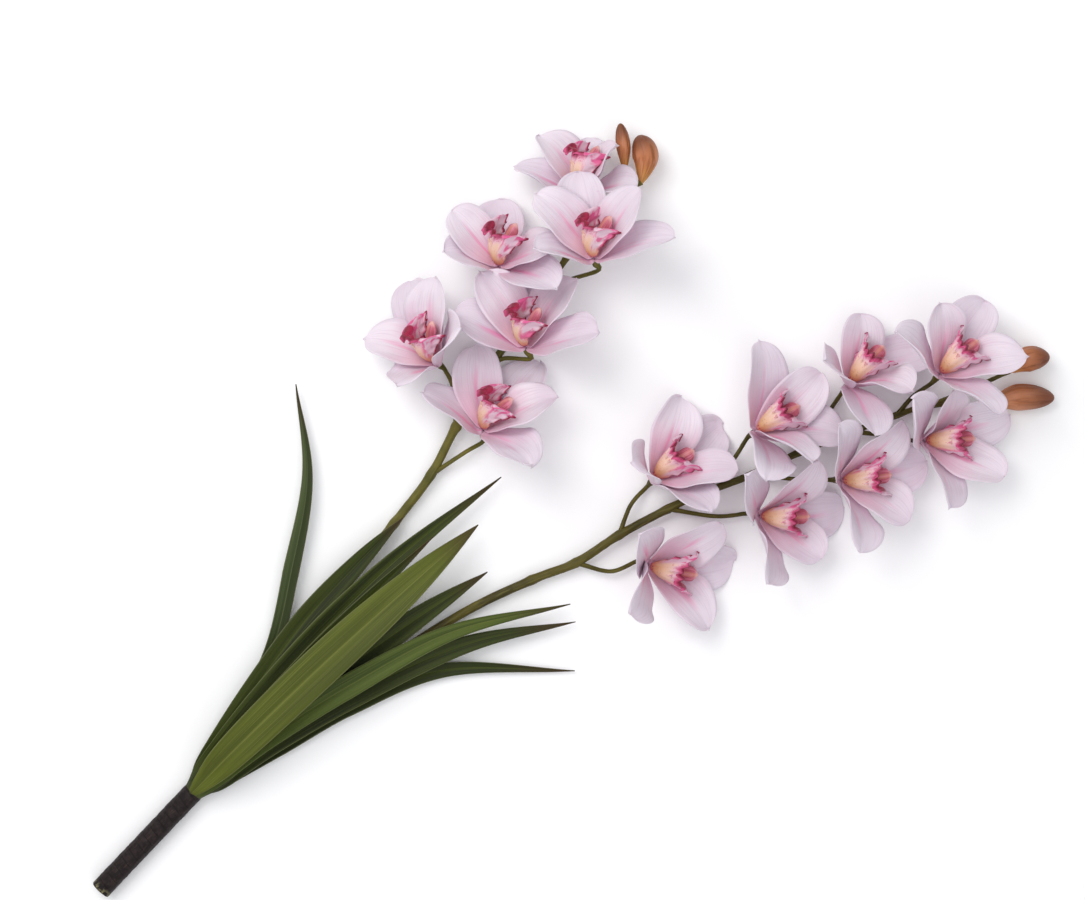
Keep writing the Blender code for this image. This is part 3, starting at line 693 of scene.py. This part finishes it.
def add_bud(name, mat):
    base, middle, tip, radius = BUDS[name]
    wild = random.Random(name)
    shape, count, sides = Shape(), 34, 36
    rows, uvs = [], []
    for i in range(count + 1):
        t = 0.5 - 0.5 * math.cos(math.pi * i / count)
        here = curve_through((base, middle, tip), t)
        heading = (curve_through((base, middle, tip), min(1.0, t + 0.03))
                   - curve_through((base, middle, tip), max(0.0, t - 0.03))).normalized()
        side = heading.cross(Vector((0.0, 0.0, 1.0))).normalized()
        up = side.cross(heading)
        body = math.sin(math.pi * t**1.25) ** 0.5 * (0.82 + 0.2 * smooth(t, 0.0, 0.5))
        body = max(0.03, body)
        row, uv_row = [], []
        for k in range(sides):
            a = math.tau * k / sides
            fold = ((a / math.tau * 3.0 + 0.25 * t + 0.3) % 1.0)
            step = 1.0 + 0.10 * (fold - 0.5) - 0.16 * math.exp(-((fold - 0.02) / 0.05) ** 2)
            dent = 1.0 + 0.03 * noise.noise(Vector((math.cos(a) * 2, math.sin(a) * 2, t * 5)))
            r = radius * body * step * dent
            row.append(place(here + (side * math.cos(a) - up * math.sin(a)) * r))
            uv_row.append((k / sides, t))
        rows.append(row)
        uvs.append(uv_row)
    shape.grid(rows, uvs, wild.random(), loop=True, caps=True)
    shape.build(f"{name}_folded", mat, "bud", [name])


def add_stem(mat):
    shape, count, sides = Shape(), 150, 48
    rows, uvs = [], []
    for i in range(-7, count + 8):
        share = min(1.0, max(0.0, i / count))
        inward = max(0, -i, i - count)
        row, uv_row = [], []
        for k in range(sides):
            a = math.tau * k / sides
            lap = (TAPE_TURNS * share + k / sides) % 1.0
            r = STEM_RADIUS - TAPE_STEP + TAPE_STEP * smooth(lap, 0.0, 0.12) * (1.0 - 0.4 * lap)
            r += 0.22 * noise.noise(Vector((math.cos(a) * 1.5, math.sin(a) * 1.5, share * 30)))
            r *= 1.0 - inward / 7.5
            x = STEM_LENGTH * share + (0.25 * noise.noise(Vector((r * math.cos(a), r * math.sin(a), 3.0)))
                                       if inward else 0.0)
            row.append(place((max(0.0, x), r * math.cos(a), STEM_RADIUS + r * math.sin(a))))
            uv_row.append((k / sides, share))
        rows.append(row)
        uvs.append(uv_row)
    shape.grid(rows, uvs, 0.0, loop=True, caps=True)
    shape.build("stem_wrap", mat, "stem", ["stem_base"])


# ---------------------------------------------------------------- the spray

sepal_mat = tepal_material("sepal_cloth", (230, 219, 229), (232, 176, 202))
petal_mat = tepal_material("petal_cloth", (233, 222, 231), (232, 162, 194))
lip_mat, column_mat = lip_material(), column_material()
leaf_mats = {
    "plain": leaf_material("leaf_cloth", (34, 42, 10), (58, 68, 20), (82, 92, 34)),
    "olive": leaf_material("leaf_cloth_olive", (70, 77, 20), (88, 96, 28), (120, 124, 58)),
    "fresh": leaf_material("leaf_cloth_fresh", (56, 70, 20), (78, 92, 32), (110, 118, 60)),
    # painted shade: this leaf material has one half darkened, for the shade of the leaf's fold
    "split": leaf_material("leaf_cloth_shaded_half", (60, 72, 38), (84, 94, 58), (104, 112, 74), split=True),
}
LEAF_PAINTS = {"leaf_1": "split", "leaf_5": "olive", "leaf_7": "fresh"}

for flower, pose in FLOWERS.items():
    matrix = flower_matrix(*pose)
    add_star(f"sepal_star_{flower}", "sepals", (0, 2, 4), (SEPAL_LENGTH, SEPAL_WIDTH, SEPAL_HUB), 0.0,
             SEPAL_OPENING, sepal_mat, matrix, flower)
    add_star(f"petal_star_{flower}", "petals", (1, 3), (PETAL_LENGTH, PETAL_WIDTH, PETAL_HUB), PETAL_RISE,
             PETAL_OPENING, petal_mat, matrix, flower)
    settled = random.Random(f"turn{flower}").uniform(-LIP_STRAY, LIP_STRAY) + LIP_SETTLED[flower[0]]
    turned = matrix @ Matrix.Rotation(math.radians(LIP_TURN[flower[0]] + settled), 4, "Z")
    add_lip(flower, turned, -1.0 if flower[0] == "l" else 1.0, lip_mat, column_mat)
for leaf in LEAVES:
    add_leaf(leaf, leaf_mats[LEAF_PAINTS.get(leaf, "plain")])
spike_mat, bud_mat = spike_material(), bud_material()
for spike in SPIKES:
    add_spike(spike, spike_mat)
for bud in BUDS:
    add_bud(bud, bud_mat)
add_stem(tape_material())


# ---------------------------------------------------------------- floor, light and camera

def add_floor():
    half = FLOOR_CELLS // 2
    marks = range(-half, half + 1)
    shape = Shape()
    shape.grid([[Vector((x * FLOOR_CELL, y * FLOOR_CELL, -FLOOR_DROP)) for x in marks] for y in marks],
               [[(x / FLOOR_CELLS, y / FLOOR_CELLS) for x in marks] for y in marks])
    mesh = bpy.data.meshes.new("floor")
    mesh.from_pydata(shape.verts, [], shape.faces)
    mesh.uv_layers.new(name="along")
    mesh.materials.append(floor_material())
    floor = bpy.data.objects.new("floor", mesh)
    bpy.context.scene.collection.objects.link(floor)


def add_light(name, place_at, size, power, colour):
    light = bpy.data.lights.new(name, "AREA")
    light.shape, light.size, light.energy, light.color = "SQUARE", size, power, colour
    lamp = bpy.data.objects.new(name, light)
    lamp.location = place_at
    lamp.rotation_euler = (Vector((0, 0, 0)) - Vector(place_at)).to_track_quat("-Z", "Y").to_euler()
    bpy.context.scene.collection.objects.link(lamp)


def add_camera():
    data = bpy.data.cameras.new("camera")
    data.sensor_width = CAMERA_SENSOR
    data.lens = CAMERA_LENS
    camera = bpy.data.objects.new("camera", data)
    camera.location = (*place(CAMERA_OVER).xy, CAMERA_HEIGHT)
    camera.rotation_euler = (0.0, 0.0, math.radians(CAMERA_TURN))
    bpy.context.scene.collection.objects.link(camera)
    bpy.context.scene.camera = camera


add_floor()
for name, light in LIGHTS.items():
    add_light(name, *light)
world = bpy.data.worlds.new("studio")
world.use_nodes = True
backdrop = world.node_tree.nodes["Background"]
backdrop.inputs["Color"].default_value = WORLD_COLOUR
backdrop.inputs["Strength"].default_value = WORLD_STRENGTH
bpy.context.scene.world = world
bpy.context.scene.view_settings.view_transform = "Standard"
add_camera()
